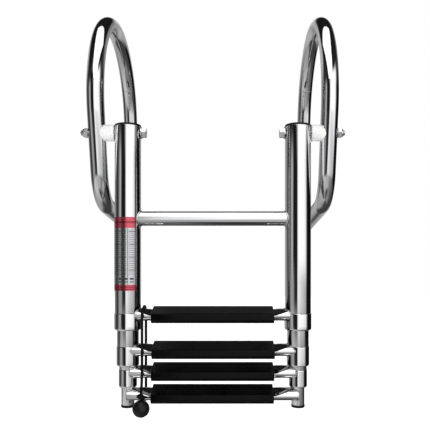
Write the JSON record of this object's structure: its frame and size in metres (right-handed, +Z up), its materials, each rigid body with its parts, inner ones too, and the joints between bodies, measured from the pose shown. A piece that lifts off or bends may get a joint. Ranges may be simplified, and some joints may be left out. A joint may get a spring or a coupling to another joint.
{
  "type": "boat boarding ladder",
  "caption": "Telescoping boat boarding ladder: polished tube rails with padded steps, stowed and strapped, hung from a pair of closed handrail loops that stand on the deck.",
  "frame": {"origin": "midway between the two handrails, at the middle of the undersides of their bottom runs, where a deck carries them", "axes": "+Z up along the stowed rails, +X across the ladder to the right of a person facing the boat, +Y towards the boat"},
  "size_m": [0.3878, 0.3543, 0.6227],
  "materials": {
    "polished_steel": "polished",
    "fastener_steel": "polished",
    "black_plastic": "satin",
    "spacer_nylon": "satin",
    "bush_nylon": "satin",
    "step_cover": "matte",
    "label": "satin",
    "bungee_cord": "matte",
    "bungee_ball": "satin"
  },
  "bodies": {
    "handrails": {"left_handrail": "polished_steel", "right_handrail": "polished_steel", "left_spacer": "spacer_nylon", "right_spacer": "spacer_nylon"},
    "upper_frame": {"left_outer_tube": "polished_steel", "right_outer_tube": "polished_steel", "left_top_plug": "black_plastic", "right_top_plug": "black_plastic", "left_outer_collar": "polished_steel", "right_outer_collar": "polished_steel", "left_outer_bush": "bush_nylon", "right_outer_bush": "bush_nylon", "left_pivot_bolt": "fastener_steel", "right_pivot_bolt": "fastener_steel", "left_bolt_washer": "fastener_steel", "right_bolt_washer": "fastener_steel", "left_lock_nut": "fastener_steel", "right_lock_nut": "fastener_steel", "crossbar": "polished_steel", "step_1_tube": "polished_steel", "step_1_cover": "step_cover", "tube_label": "label", "bungee_cord": "bungee_cord", "bungee_ball": "bungee_ball"},
    "section_2": {"left_tube_2": "polished_steel", "right_tube_2": "polished_steel", "left_collar_2": "polished_steel", "right_collar_2": "polished_steel", "left_lower_bush_2": "bush_nylon", "right_lower_bush_2": "bush_nylon", "left_top_bush_2": "bush_nylon", "right_top_bush_2": "bush_nylon", "step_2_tube": "polished_steel", "step_2_cover": "step_cover"},
    "section_3": {"left_tube_3": "polished_steel", "right_tube_3": "polished_steel", "left_collar_3": "polished_steel", "right_collar_3": "polished_steel", "left_lower_bush_3": "bush_nylon", "right_lower_bush_3": "bush_nylon", "left_top_bush_3": "bush_nylon", "right_top_bush_3": "bush_nylon", "step_3_tube": "polished_steel", "step_3_cover": "step_cover"},
    "section_4": {"left_tube_4": "polished_steel", "right_tube_4": "polished_steel", "left_top_bush_4": "bush_nylon", "right_top_bush_4": "bush_nylon", "left_foot_cap": "black_plastic", "right_foot_cap": "black_plastic", "step_4_tube": "polished_steel", "step_4_cover": "step_cover"}
  },
  "joints": [
    {"name": "ladder_swing", "type": "hinge", "parent": "handrails", "child": "upper_frame", "pos_m": [0, -0.14754, 0.12416], "axis": [-1, 0, 0], "range_deg": [0, 285]},
    {"name": "section_2_slide", "type": "slide", "parent": "upper_frame", "child": "section_2", "axis": [0, 0, -1], "range_m": [0, 0.236], "deforming": ["bungee_cord"]},
    {"name": "section_3_slide", "type": "slide", "parent": "section_2", "child": "section_3", "axis": [0, 0, -1], "range_m": [0, 0.254]},
    {"name": "section_4_slide", "type": "slide", "parent": "section_3", "child": "section_4", "axis": [0, 0, -1], "range_m": [0, 0.254]}
  ]
}
